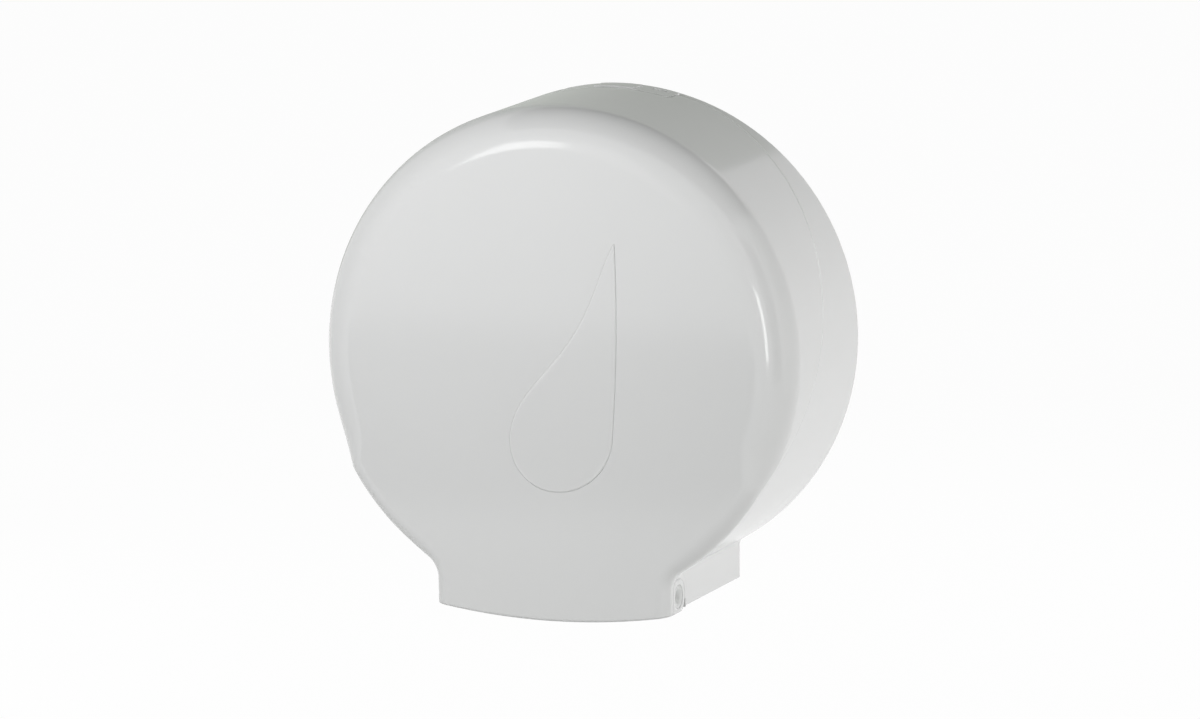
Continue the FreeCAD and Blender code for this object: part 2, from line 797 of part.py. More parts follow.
def latch_screws():
    """Two screws of the bracket and one of the spring."""
    screws = []
    for x in (-latch_screw_offset, latch_screw_offset):
        seat = Vector(x, bracket_front_y(), latch_screw_z())
        screws.append(screw(seat, along_y, bracket_wall + shell_wall / 2, small_screw_radius,
                            small_screw_head_radius, small_screw_head_height))
    seat = Vector(0, bracket_front_y() - spring_thickness, spring_screw_z())
    screws.append(screw(seat, along_y, bracket_wall, small_screw_radius,
                        small_screw_head_radius, small_screw_head_height))
    return screws


seat_y = -(shell_wall + seat_height)
flange_front_y = seat_y - flange_wall
post_tip_y = -(body_depth - post_tip_room)
hub_back_y = flange_front_y - washer_thickness - gusset_reach
hub_front_y = post_tip_y + hub_end_gap


def spindle_post():
    """Hollow post on a screwed flange, stiffened by gussets, with a closed tip."""
    flange = rod(flange_radius, Vector(0, seat_y, 0), Vector(0, flange_front_y, 0))
    post = rod(post_radius, Vector(0, seat_y, 0), Vector(0, post_tip_y, 0))
    gussets = []
    for number in range(gusset_count):
        corner = [Vector(0, flange_front_y, post_radius - gusset_wall),
                  Vector(0, flange_front_y, post_radius + gusset_height),
                  Vector(0, flange_front_y - gusset_reach, post_radius + gusset_height / 4),
                  Vector(0, flange_front_y - gusset_reach, post_radius - gusset_wall)]
        face = Part.Face(Part.makePolygon(corner + corner[:1]))
        face.translate(Vector(-gusset_wall / 2, 0, 0))
        gusset = face.extrude(Vector(gusset_wall, 0, 0))
        gusset.rotate(Vector(0, 0, 0), along_y, (number + 1 / 2) * 360 / gusset_count)
        gussets.append(gusset)
    collar = rod(post_radius + gusset_height / 4, Vector(0, seat_y, 0),
                 Vector(0, flange_front_y - gusset_reach, 0))
    spindle = fuse(flange, post, collar, *gussets)
    bore = depth_hole(post_bore_radius, 0, 0, -overrun, -post_tip_y - cap_spigot - post_tip_wall)
    socket = depth_hole(post_bore_radius, 0, 0, -post_tip_y - cap_spigot, far)
    pilot = depth_hole(screw_radius + screw_fit, 0, 0, -post_tip_y - overrun, far)
    holes = [depth_hole(screw_radius + screw_fit, place.x, place.z, 0, overrun)
             for place in flange_screw_places()]
    return spindle.cut([bore, socket, pilot] + holes).Solids[0]


def spindle_screws():
    """Screws that hold the spindle's flange on the shell's bosses."""
    screws = []
    for place in flange_screw_places():
        seat = Vector(place.x, flange_front_y, place.z)
        screws.append(screw(seat, along_y, flange_wall + seat_height, screw_radius,
                            screw_head_radius, screw_head_height))
    return screws


def hub_washer():
    """Thrust washer between the post's collar and the turning hub."""
    back = flange_front_y - gusset_reach
    washer = rod(washer_radius, Vector(0, back, 0), Vector(0, back - washer_thickness, 0))
    return washer.cut(rod(post_radius + hub_fit, Vector(0, 0, 0), Vector(0, -far, 0)))


def core_hub():
    """Turning hub that carries the roll's core: a sleeve with a flange and tapered fins."""
    sleeve_radius = post_radius + hub_fit + hub_wall
    sleeve = rod(sleeve_radius, Vector(0, hub_back_y, 0), Vector(0, hub_front_y, 0))
    flange = rod(hub_flange_radius, Vector(0, hub_back_y, 0), Vector(0, hub_back_y - hub_flange_wall, 0))
    fins = []
    for number in range(hub_fin_count):
        profile = [Vector(0, hub_back_y, sleeve_radius - hub_wall / 2),
                   Vector(0, hub_back_y, hub_core_radius),
                   Vector(0, hub_front_y + hub_fin_lead, hub_core_radius),
                   Vector(0, hub_front_y, (hub_core_radius + sleeve_radius) / 2),
                   Vector(0, hub_front_y, sleeve_radius - hub_wall / 2)]
        face = Part.Face(Part.makePolygon(profile + profile[:1]))
        face.translate(Vector(-hub_fin_wall / 2, 0, 0))
        fin = face.extrude(Vector(hub_fin_wall, 0, 0))
        fin.rotate(Vector(0, 0, 0), along_y, number * 360 / hub_fin_count)
        fins.append(fin)
    hub = fuse(sleeve, flange, *fins)
    return hub.cut(rod(post_radius + hub_fit, Vector(0, 0, 0), Vector(0, -far, 0))).Solids[0]


def hub_end_cap():
    """Bevelled cap on the post's tip that keeps the hub on."""
    rim_front = post_tip_y - cap_rim
    rim = rod(cap_radius, Vector(0, post_tip_y, 0), Vector(0, rim_front, 0))
    dome = Part.makeCone(cap_radius, cap_radius - 2 * cap_dome, cap_dome, Vector(0, rim_front, 0), -along_y)
    spigot = rod(post_bore_radius - cap_spigot_fit, Vector(0, post_tip_y + cap_spigot - hub_fit, 0),
                 Vector(0, post_tip_y, 0))
    cap = fuse(rim, dome, spigot)
    bore = rod(screw_radius + screw_fit, Vector(0, 0, 0), Vector(0, -far, 0))
    head_room = rod(screw_head_radius + screw_fit, Vector(0, cap_seat_y(), 0), Vector(0, -far, 0))
    return cap.cut([bore, head_room])


def cap_seat_y():
    """Depth of the recess in the cap where the screw's head sits."""
    return post_tip_y - cap_rim / 2


def hub_cap_screw():
    """Screw that holds the end cap."""
    seat = Vector(0, cap_seat_y(), 0)
    length = cap_rim / 2 + cap_spigot + post_tip_wall
    return screw(seat, along_y, length, screw_radius, screw_head_radius, screw_head_height)


def front_tear_strip():
    """Toothed steel strip behind the cover's lip."""
    face = toothed_face(strip_half_width, strip_height, Vector(0, strip_seat_y(), strip_bottom))
    return face.extrude(Vector(0, strip_thickness, 0)).cut(strip_screw_holes())


def front_strip_screws():
    """Two screws of the front strip."""
    screws = []
    for x in (-strip_screw_offset, strip_screw_offset):
        seat = strip_screw_point(x, -strip_thickness)
        screws.append(screw(seat, -along_y, strip_grip + strip_thickness, small_screw_radius,
                            small_screw_head_radius, small_screw_head_height))
    return screws


def rear_tear_bar():
    """Toothed moulded bar across the back of the mouth."""
    back = -(shell_wall + bar_seat_height)
    bottom = shell_bottom + bar_lift
    upright = box((-bar_half_width, bar_half_width), (back - bar_wall, back), (bottom, bottom + bar_height))
    teeth = toothed_face(bar_half_width, bar_reach, Vector(0, 0, 0)).extrude(Vector(0, bar_wall, 0))
    teeth.rotate(Vector(0, 0, 0), along_x, -90)
    teeth.translate(Vector(0, back - bar_reach, bottom + bar_wall))
    bar = fuse(upright, teeth)
    holes = [depth_hole(small_screw_radius + screw_fit, x, bar_screw_z(), 0, far)
             for x in (-bar_screw_offset, bar_screw_offset)]
    return bar.cut(holes)


def rear_bar_screws():
    """Two screws of the rear bar."""
    screws = []
    for x in (-bar_screw_offset, bar_screw_offset):
        seat = Vector(x, -(shell_wall + bar_seat_height + bar_wall), bar_screw_z())
        screws.append(screw(seat, along_y, bar_wall + bar_seat_height, small_screw_radius,
                            small_screw_head_radius, small_screw_head_height))
    return screws


os.makedirs("parts", exist_ok=True)
save("rear_shell", rear_shell())
save("front_cover", front_cover())
left_to_right = both_sides(hinge_pin())
save("hinge_pin_right", left_to_right[0])
save("hinge_pin_left", left_to_right[1])
save("hinge_clips", *both_sides(hinge_clip()))
save("latch_bracket", latch_bracket())
save("latch_tongue", latch_tongue())
save("latch_spring", latch_spring())
save("latch_pivot_pin", latch_pin())
save("latch_screws", *latch_screws())
save("spindle_post", spindle_post())
save("spindle_screws", *spindle_screws())
save("hub_washer", hub_washer())
save("core_hub", core_hub())
save("hub_end_cap", hub_end_cap())
save("hub_cap_screw", hub_cap_screw())
save("front_tear_strip", front_tear_strip())
save("front_strip_screws", *front_strip_screws())
save("rear_tear_bar", rear_tear_bar())
save("rear_bar_screws", *rear_bar_screws())
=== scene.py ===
import math

import bpy
import numpy as np
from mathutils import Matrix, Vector


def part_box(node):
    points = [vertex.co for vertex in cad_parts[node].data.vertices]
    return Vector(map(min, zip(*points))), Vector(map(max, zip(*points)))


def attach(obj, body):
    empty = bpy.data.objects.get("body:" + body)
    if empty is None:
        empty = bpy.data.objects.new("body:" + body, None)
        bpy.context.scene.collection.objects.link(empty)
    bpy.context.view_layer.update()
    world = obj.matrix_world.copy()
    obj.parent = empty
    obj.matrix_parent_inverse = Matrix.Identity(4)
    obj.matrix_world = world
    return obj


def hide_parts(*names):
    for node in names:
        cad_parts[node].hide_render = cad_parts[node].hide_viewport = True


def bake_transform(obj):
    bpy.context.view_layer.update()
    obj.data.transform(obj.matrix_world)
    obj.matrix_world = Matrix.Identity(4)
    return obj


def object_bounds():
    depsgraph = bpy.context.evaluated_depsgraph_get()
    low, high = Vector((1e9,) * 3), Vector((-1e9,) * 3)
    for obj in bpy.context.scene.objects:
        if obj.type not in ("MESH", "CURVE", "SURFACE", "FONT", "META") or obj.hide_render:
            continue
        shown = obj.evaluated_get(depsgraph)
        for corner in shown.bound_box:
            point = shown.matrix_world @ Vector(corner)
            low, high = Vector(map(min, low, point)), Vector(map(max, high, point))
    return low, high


# Jumbo toilet roll dispenser in glossy white plastic, seen from the front and a little from the right.
# Lengths are in metres, in the part's own frame: X to the right, Y into the wall, Z up.

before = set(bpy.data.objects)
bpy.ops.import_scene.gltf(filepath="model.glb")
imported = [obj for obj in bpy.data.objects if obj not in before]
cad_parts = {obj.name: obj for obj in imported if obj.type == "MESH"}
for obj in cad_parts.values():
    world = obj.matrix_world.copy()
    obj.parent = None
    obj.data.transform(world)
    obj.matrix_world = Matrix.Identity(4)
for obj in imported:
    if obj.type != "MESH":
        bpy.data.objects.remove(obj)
cad_low, cad_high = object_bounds()

mm = 0.001

# Outer form of the cover, from the solid it replaces and from the moulding's own sizes
body_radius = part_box("front_cover")[1].x
body_depth = 128.5 * mm
face_rise = 3.5 * mm
face_edge_radius = 22 * mm
neck_edge_radius = 7 * mm
rounding_room_share = 0.96
crowding = 6
narrowing_reach = 44 * mm
spine_swing_degrees = 40
spine_drop_share = 0.62
neck_half_width = 67 * mm
neck_length = 138 * mm
neck_corner_radius = 13 * mm
lip_bow = 5.8 * mm
cover_wall = 2.5 * mm

# Points along the cover's outline, from the top to the foot
notch_points = 12
round_points = 132
corner_points_above_ear = 12
corner_points_at_ear = 9
foot_points = 14

# Points round a full circle, and distances within which points are taken as one or as level
circle_points = 49
weld_distance = 0.002 * mm
level_tolerance = 0.01 * mm

# Seam between cover and shell, in side view
seam_top = (-10.0 * mm, 123.9 * mm)
seam_bend = (-70.0 * mm, -2.0 * mm)
seam_low = (-113.5 * mm, -68.0 * mm)
seam_relief = 0.25 * mm

# Notch of the latch in the cover's top edge
notch_half_width = 33.2 * mm
notch_depth = 25.4 * mm
notch_slant = 0.8 * mm

# What is left of the tongue's hump above the round body
hump_share = 0.45

# Hinge ears of the cover
hinge_y = -105.0 * mm
hinge_z = -129.5 * mm
ear_radius = 9.7 * mm
ear_thickness = 5.7 * mm
dimple_radius = 6.5 * mm
dimple_depth = 2.6 * mm
pin_hole_radius = 2.55 * mm
pad_front = -120.3 * mm
pad_overlap = 0.05 * mm

# Hinge pins: shank, clip groove and dished flange
pin_radius = 2.5 * mm
pin_flange_radius = 6.3 * mm
pin_flange_setback = 0.3 * mm
pin_dish_radius = 5.9 * mm
pin_dish_depth = 4.4 * mm
pin_dish_steepness = 3.4
pin_groove_radius = 2.0 * mm
pin_groove_x = (54.79 * mm, 55.65 * mm)

# Catch rib and strip bosses inside the cover
catch_depth = 2.2 * mm
catch_height = 1.5 * mm
catch_half_width = 9 * mm
strip_screw_x = 38 * mm
strip_screw_rise = 8 * mm
strip_boss_radius = 4 * mm
small_hole_radius = 1.3 * mm

# Raised drop on the face
drop_relief = 0.55 * mm
drop_edge = 1.1 * mm
drop_sink = 0.03 * mm
drop_height = 136.0 * mm
drop_half_width = 30.4 * mm
drop_centre_x = 8.6 * mm
drop_low_z = -71.9 * mm
drop_tip_share = (0.95, 1.0)
drop_right_shares = ((1.0, 0.62), (0.93, 0.24))
drop_bottom_share = (-0.24, 0.0)
drop_left_shares = ((-0.985, 0.195), (-0.79, 0.341), (-0.339, 0.471), (0.188, 0.621), (0.59, 0.801))
drop_bottom_middle_shares = ((0.6, 0.066), (-0.78, 0.066))


def smooth(share):
    """Share that leaves 0 and reaches 1 with no slope: 3 t squared less 2 t cubed."""
    t = np.clip(share, 0, 1)
    return t * t * (3 - 2 * t)


def face_depth(x, z, inset=0.0):
    """Y of the crowned face: a large sphere through the face's middle and its rounding's start."""
    chord = body_radius - face_edge_radius
    radius = (chord ** 2 + face_rise ** 2) / (2 * face_rise)
    return radius - body_depth - np.sqrt((radius - inset) ** 2 - x ** 2 - z ** 2)


def lip_z(x):
    """Height of the bowed lower edge: an arc through both corners of the neck and its low middle."""
    radius = (neck_half_width ** 2 + lip_bow ** 2) / (2 * lip_bow)
    return -neck_length - lip_bow + radius - np.sqrt(radius ** 2 - x ** 2)


def seam_depth(z):
    """Y of the seam at a height: level at the top, a straight slope, an arc tangent to it, then level."""
    top, bend, low = (np.array(point) for point in (seam_top, seam_bend, seam_low))
    along = (bend - top) / np.linalg.norm(bend - top)
    across = np.array([along[1], -along[0]])
    chord = low - bend
    radius = chord @ chord / (2 * chord @ across)
    centre = bend + across * radius
    sloping = top[0] + (z - top[1]) * (bend[0] - top[0]) / (bend[1] - top[1])
    reach = np.sqrt(np.maximum(radius ** 2 - (z - centre[1]) ** 2, 0))
    bowed = centre[0] + math.copysign(1, bend[0] - centre[0]) * reach
    depth = np.where(z > bend[1], sloping, bowed)
    return np.where(z > top[1], top[0], np.where(z < low[1], low[0], depth))


def welded(points, faces):
    """Points and faces with coincident points made one, and faces that lose a corner cleaned."""
    keys = np.round(points / weld_distance).astype(np.int64)
    _, first, place = np.unique(keys, axis=0, return_index=True, return_inverse=True)
    place = place.ravel()
    kept = []
    for face in place[faces]:
        corners = [int(c) for n, c in enumerate(face) if c != face[n - 1]]
        if len(set(corners)) > 2:
            kept.append(corners)
    return points[first], kept


def grid_faces(columns, rows, start=0, turned=False):
    """Four sided faces of a grid whose points are numbered column by column."""
    column, row = np.meshgrid(np.arange(columns - 1), np.arange(rows - 1), indexing="ij")
    corner = (start + column * rows + row).ravel()
    faces = np.stack([corner, corner + 1, corner + rows + 1, corner + rows], axis=1)
    return faces[:, ::-1] if turned else faces


def mesh_object(name, points, faces, finish):
    """New mesh object at the origin, with one material."""
    mesh = bpy.data.meshes.new(name)
    mesh.from_pydata([tuple(p) for p in points], [], [tuple(f) for f in faces])
    mesh.update()
    mesh.materials.append(finish)
    item = bpy.data.objects.new(name, mesh)
    bpy.context.scene.collection.objects.link(item)
    return item


def piece(name, points, faces, body, finish, sharp_degrees=35):
    """Smooth piece, riding on a body if one is given; edges past the angle stay crisp."""
    item = mesh_object(name, points, faces, finish)
    item.data.shade_smooth()
    item.data.set_sharp_from_angle(angle=math.radians(sharp_degrees))
    if body:
        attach(item, body)
    return item


def mesh_points(mesh):
    """The mesh's points, one row each."""
    points = np.zeros(len(mesh.vertices) * 3)
    mesh.vertices.foreach_get("co", points)
    return points.reshape(-1, 3)


def copied(name, body, finish, sharp_degrees=28):
    """Copy of a solid whose loose triangles are joined, so that its round walls shade smoothly."""
    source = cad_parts[name].data
    corners = np.zeros(len(source.loops), dtype=np.int64)
    source.loops.foreach_get("vertex_index", corners)
    points, faces = welded(mesh_points(source), corners.reshape(-1, 3))
    item = piece(name + "_form", points, faces, body, finish, sharp_degrees)
    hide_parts(name)
    return item


def lowered_hump(item):
    """Pulls what stands over the round body towards it: r becomes R plus a share of r less R."""
    mesh = item.data
    points = mesh_points(mesh)
    radius = np.hypot(points[:, 0], points[:, 2])
    over = np.maximum(radius - body_radius, 0)
    points[:, ::2] *= (1 - over * (1 - hump_share) / radius)[:, None]
    mesh.vertices.foreach_set("co", points.ravel())
    mesh.update()


class Value:
    """A shader socket; arithmetic on it adds Math nodes to its tree."""

    def __init__(self, tree, socket):
        self.tree = tree
        self.socket = socket

    def math(self, operation, first, second):
        """One Math node with two inputs, numbers or values."""
        return node(self.tree, "ShaderNodeMath", {"operation": operation}, {0: first, 1: second})

    def __add__(self, other):
        return self.math("ADD", self, other)

    def __radd__(self, other):
        return self.math("ADD", other, self)

    def __mul__(self, other):
        return self.math("MULTIPLY", self, other)

    def __rmul__(self, other):
        return self.math("MULTIPLY", other, self)


def node(tree, kind, settings=None, inputs=None, output=0):
    """Adds any node: its settings first, then the values or links of its sockets; gives one output."""
    made = tree.nodes.new(kind)
    for name, value in (settings or {}).items():
        setattr(made, name, value)
    for name, value in (inputs or {}).items():
        if isinstance(value, Value):
            tree.links.new(value.socket, made.inputs[name])
        else:
            made.inputs[name].default_value = value
    return Value(tree, made.outputs[output]) if made.outputs else None


def material(name):
    """Empty node material and its tree."""
    made = bpy.data.materials.new(name)
    made.use_nodes = True
    made.node_tree.nodes.clear()
    return made, made.node_tree


def position(tree):
    """Object coordinates, in metres."""
    return node(tree, "ShaderNodeTexCoord", output="Object")


def noise(tree, place, scale, detail, rough=0.5):
    """Even noise between 0 and 1; its scale is in features per metre."""
    return node(tree, "ShaderNodeTexNoise", {}, {"Vector": place, "Scale": scale,
                                                "Detail": detail, "Roughness": rough})


def between(tree, share, first, second):
    """Colour that goes from the first to the second with the share."""
    return node(tree, "ShaderNodeMix", {"data_type": "RGBA"},
                {0: share, 6: tuple(first) + (1.0,), 7: tuple(second) + (1.0,)}, output=2)


def relief(tree, height, distance, edge, edge_samples):
    """Normal with the edges rounded to a radius and a relief of the height's full distance on top."""
    rounded = node(tree, "ShaderNodeBevel", {"samples": edge_samples}, {"Radius": edge})
    return node(tree, "ShaderNodeBump", {}, {"Strength": 1.0, "Distance": distance, "Height": height,
                                            "Normal": rounded})


def ending(made, tree, shader):
    """Joins the surface shader to the material's output."""
    node(tree, "ShaderNodeOutputMaterial", {}, {"Surface": shader})
    return made


# Patterns of the finishes, with scales in features per metre
cloud_scale, cloud_detail, cloud_tint = 14.0, 3.0, 0.02
handling_scale, handling_detail, handling_rough = 45.0, 4.0, 0.6
handling_low_share, handling_spread_share = 0.85, 0.3
skin_scale, skin_detail = 900.0, 2.0
grain_scale, grain_detail, grain_tint = 400.0, 3.0, 0.15
grain_stretch = (1.0, 12.0, 12.0)
grain_low_share, grain_spread_share = 0.8, 0.4
steel_edge = 0.15 * mm
plastic_refraction = 1.53
plastic_edge_samples = 6
steel_edge_samples = 4


def moulded(name, colour, rough, edge, peel):
    """Moulded plastic: a faint cloudy tint, handled gloss, soft edges and a fine skin from the tool."""
    made, tree = material(name)
    place = position(tree)
    cloud = noise(tree, place, cloud_scale, cloud_detail)
    base = between(tree, cloud, (c * (1 - cloud_tint) for c in colour), colour)
    handled = noise(tree, place, handling_scale, handling_detail, handling_rough)
    roughness = rough * (handling_low_share + handling_spread_share * handled)
    skin = noise(tree, place, skin_scale, skin_detail)
    normal = relief(tree, skin, peel, edge, plastic_edge_samples)
    shader = node(tree, "ShaderNodeBsdfPrincipled", {}, {"Base Color": base, "Roughness": roughness,
                                                        "IOR": plastic_refraction, "Normal": normal})
    return ending(made, tree, shader)


def metal(name, colour, rough, scratch):
    """Steel with a fine drawn grain and soft edges."""
    made, tree = material(name)
    stretched = node(tree, "ShaderNodeMapping", {}, {"Vector": position(tree), "Scale": grain_stretch})
    grain = noise(tree, stretched, grain_scale, grain_detail)
    base = between(tree, grain, (c * (1 - grain_tint) for c in colour), colour)
    roughness = rough * (grain_low_share + grain_spread_share * grain)
    normal = relief(tree, grain, scratch, steel_edge, steel_edge_samples)
    shader = node(tree, "ShaderNodeBsdfPrincipled", {}, {"Base Color": base, "Roughness": roughness,
                                                        "Metallic": 1.0, "Normal": normal})
    return ending(made, tree, shader)


gloss_white = (0.805, 0.81, 0.805)
gloss_peel = 0.0004 * mm
cover_finish = moulded("cover_abs", gloss_white, rough=0.11, edge=0.35 * mm, peel=gloss_peel)
shell_finish = moulded("shell_abs", gloss_white, rough=0.12, edge=0.35 * mm, peel=gloss_peel)
latch_finish = moulded("latch_abs", gloss_white, rough=0.12, edge=0.25 * mm, peel=gloss_peel)
pin_finish = moulded("pin_abs", (0.74, 0.75, 0.74), rough=0.3, edge=0.25 * mm, peel=0.001 * mm)
inner_finish = moulded("inner_plastic", (0.74, 0.75, 0.75), rough=0.42, edge=0.25 * mm, peel=0.003 * mm)
hub_finish = moulded("hub_plastic", (0.5, 0.53, 0.56), rough=0.4, edge=0.3 * mm, peel=0.003 * mm)
acetal_finish = moulded("natural_acetal", (0.86, 0.85, 0.8), rough=0.38, edge=0.15 * mm, peel=0.002 * mm)
spring_finish = metal("spring_steel", (0.55, 0.55, 0.56), rough=0.28, scratch=0.0006 * mm)
strip_finish = metal("strip_steel", (0.66, 0.66, 0.67), rough=0.34, scratch=0.0005 * mm)
zinc_finish = metal("zinc_screws", (0.7, 0.71, 0.72), rough=0.22, scratch=0.0004 * mm)


def cover_columns():
    """Right half of the cover's outline from its top to its foot: the round, the hollow corner, the neck.

    Each column holds a point of the outline, the way out of it, the edge's radius, the height where
    its line across the face ends on the middle plane, how far it follows the bowed lip, and its back edge.
    Where the seam comes near the face, the rounding ends before it: a radius r with the room k becomes
    the sum of r and k, each to the power of less n, to the power of less 1 over n.
    """
    corner_reach = body_radius + neck_corner_radius
    corner_x = neck_half_width + neck_corner_radius
    corner_z = -math.sqrt(corner_reach ** 2 - corner_x ** 2)
    last_turn = math.pi - math.asin(corner_x / corner_reach)
    notch_turn = math.asin(notch_half_width / body_radius)
    notch_end = math.asin((notch_half_width + notch_slant) / body_radius)
    ear_turn = math.pi - math.asin((hinge_z + ear_radius - corner_z) / neck_corner_radius)

    turn = np.concatenate([np.linspace(0, notch_turn, notch_points),
                           np.linspace(notch_end, last_turn, round_points)])
    x = body_radius * np.sin(turn)
    z = body_radius * np.cos(turn)
    out = np.stack([np.sin(turn), np.cos(turn)], axis=1)
    swing = math.radians(spine_swing_degrees)
    sweep = np.clip((turn - (last_turn - swing)) / swing, 0, 1)
    spine = -spine_drop_share * body_radius * smooth(sweep) * sweep
    travel = body_radius * (turn - last_turn)

    bend_start = math.pi / 2 + (math.pi - last_turn)
    bend = np.concatenate([np.linspace(bend_start, ear_turn, corner_points_above_ear)[1:],
                           np.linspace(ear_turn, math.pi, corner_points_at_ear)[1:]])
    bend_x = corner_x + neck_corner_radius * np.cos(bend)
    bend_z = corner_z + neck_corner_radius * np.sin(bend)
    bend_out = np.stack([-np.cos(bend), -np.sin(bend)], axis=1)
    share = (bend - bend_start) / (math.pi - bend_start)
    bend_spine = spine[-1] + (corner_z - spine[-1]) * share
    bend_travel = neck_corner_radius * (bend - bend_start)

    foot_z = np.linspace(corner_z, -neck_length, foot_points)[1:]
    foot_x = np.full(len(foot_z), neck_half_width)
    foot_out = np.tile([1.0, 0.0], (len(foot_z), 1))

    x = np.concatenate([x, bend_x, foot_x])
    z = np.concatenate([z, bend_z, foot_z])
    out = np.concatenate([out, bend_out, foot_out])
    spine = np.concatenate([spine, bend_spine, foot_z])
    travel = np.concatenate([travel, bend_travel, np.full(len(foot_z), np.inf)])
    lip = np.clip((corner_z - z) / (corner_z + neck_length), 0, 1)
    lip[:len(turn) + len(bend)] = 0
    narrowing_length = narrowing_reach + neck_corner_radius * (ear_turn - bend_start)
    narrowing = smooth((travel + narrowing_reach) / narrowing_length)
    radius = face_edge_radius + (neck_edge_radius - face_edge_radius) * narrowing
    back = seam_depth(z) - seam_relief
    back[:notch_points] = -notch_depth
    room = (back - face_depth(x, z)) * rounding_room_share
    radius = (radius ** -crowding + room ** -crowding) ** (-1 / crowding)
    return x, z, out, radius, spine, lip, back, corner_x, corner_z


def cover_surface(face_rows=14, edge_rows=46):
    """Outside of the cover's right half.

    A column starts on the middle plane, crosses the crowned face, turns over the rounding, which is
    an arc of the column's own radius set on the face, and runs straight back to the seam.
    """
    x, z, out, radius, spine, lip, back, corner_x, corner_z = cover_columns()
    x, z, radius, spine, lip, back = (v[:, None] for v in (x, z, radius, spine, lip, back))
    out_x, out_z = out[:, :1], out[:, 1:]
    edge_start = face_depth(x, z) + radius
    low_turn = np.arcsin(np.clip(1 - (back - face_depth(x, z)) / radius, 0, 1))
    arc = radius * (math.pi / 2 - low_turn)
    straight = np.maximum(back - edge_start, 0)
    along = (arc + straight) * np.linspace(0, 1, edge_rows)[None, :]
    turn = math.pi / 2 - np.minimum(along, arc) / radius
    inset = radius * (1 - np.cos(turn))
    edge_x = x - out_x * inset
    edge_z = z - out_z * inset
    sag = lip_z(edge_x) - lip_z(neck_half_width)
    edge_z = edge_z + lip * sag
    edge_y = face_depth(edge_x, edge_z) + radius * (1 - np.sin(turn)) + np.maximum(along - arc, 0)
    share = np.linspace(0, 1, face_rows)[None, :-1]
    face_x = edge_x[:, :1] * share
    start_z = edge_z[:, :1] - lip * sag[:, :1]
    face_z = spine + (start_z - spine) * share + lip * (lip_z(face_x) - lip_z(neck_half_width))
    face_y = face_depth(face_x, face_z)
    across = np.stack([face_x, face_y, face_z], axis=2)
    edge = np.stack([edge_x, edge_y, edge_z], axis=2)
    return np.concatenate([across, edge], axis=1), corner_x, corner_z


def neck_side_x(z, corner_x, corner_z):
    """Half width of the cover's foot at a height: straight, then the hollow corner's arc."""
    rise = np.maximum(z - corner_z, 0)
    return np.where(z > corner_z, corner_x - np.sqrt(neck_corner_radius ** 2 - rise ** 2), neck_half_width)


def ear_rings(front_z, front_y, hole_radius, rings=6, foot_edge_points=10, arc_points=44, top_points=8):
    """Side view of a hinge ear: rings from a round hole on the hinge axis out to the ear's outline."""
    foot = -neck_length
    last = math.acos((foot - hinge_z) / ear_radius)
    foot_y = np.linspace(front_y, hinge_y + ear_radius * math.sin(last), foot_edge_points)[1:]
    turn = np.linspace(last, 0, arc_points)[1:]
    top_y = np.linspace(hinge_y, front_y, top_points)[1:-1]
    round_y = hinge_y + ear_radius * np.sin(turn)
    edge_y = np.concatenate([np.full(len(front_z), front_y), foot_y, round_y, top_y])
    edge_z = np.concatenate([front_z, np.full(len(foot_y), foot), hinge_z + ear_radius * np.cos(turn),
                             np.full(len(top_y), hinge_z + ear_radius)])
    away = np.stack([edge_y - hinge_y, edge_z - hinge_z], axis=1)
    hole = away / np.linalg.norm(away, axis=1)[:, None] * hole_radius
    share = np.linspace(0, 1, rings)[None, :, None]
    flat = hole[:, None, :] + (away - hole)[:, None, :] * share
    return np.concatenate([flat, flat[:1]]) + np.array([hinge_y, hinge_z])


def ear_surface(front_z, corner_x, corner_z):
    """Outside of a hinge ear round its dimple."""
    flat = ear_rings(front_z, seam_low[0], dimple_radius)
    side = neck_side_x(flat[:, :, 1], corner_x, corner_z)
    return np.concatenate([side[:, :, None], flat], axis=2)


def mirrored(points):
    """The same points on the other side of the middle plane."""
    return points * np.array([-1.0, 1.0, 1.0])


def front_cover():
    """The cover's outside as one skin with both ears, thickened inwards to its wall."""
    half, corner_x, corner_z = cover_surface()
    at_ear = half[:, -1, 2] < hinge_z + ear_radius + level_tolerance
    ear = ear_surface(half[at_ear, -1, 2], corner_x, corner_z)
    points, faces, start = [], [], 0
    for patch, flip in ((half, True), (ear, False)):
        for side in (patch, mirrored(patch)):
            turned = flip if side is patch else not flip
            faces.append(grid_faces(*side.shape[:2], start, turned))
            points.append(side.reshape(-1, 3))
            start += side.shape[0] * side.shape[1]
    points, faces = welded(np.concatenate(points), np.concatenate(faces))
    item = piece("cover_form", points, faces, "cover", cover_finish)
    wall = item.modifiers.new("wall", "SOLIDIFY")
    wall.thickness = cover_wall
    wall.offset = -1
    wall.use_even_offset = True
    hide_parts("front_cover")


def arc_through(start, middle, end, count):
    """Points of the circle's arc through three points."""
    start, middle, end = (np.array(p) for p in (start, middle, end))
    sides = 2 * np.array([middle - start, end - start])
    centre = np.linalg.solve(sides, [middle @ middle - start @ start, end @ end - start @ start])
    radius = np.linalg.norm(start - centre)
    angles = np.unwrap([math.atan2(*(p - centre)[::-1]) for p in (start, middle, end)])
    turn = np.linspace(angles[0], angles[2], count)
    return centre + radius * np.stack([np.cos(turn), np.sin(turn)], axis=1)


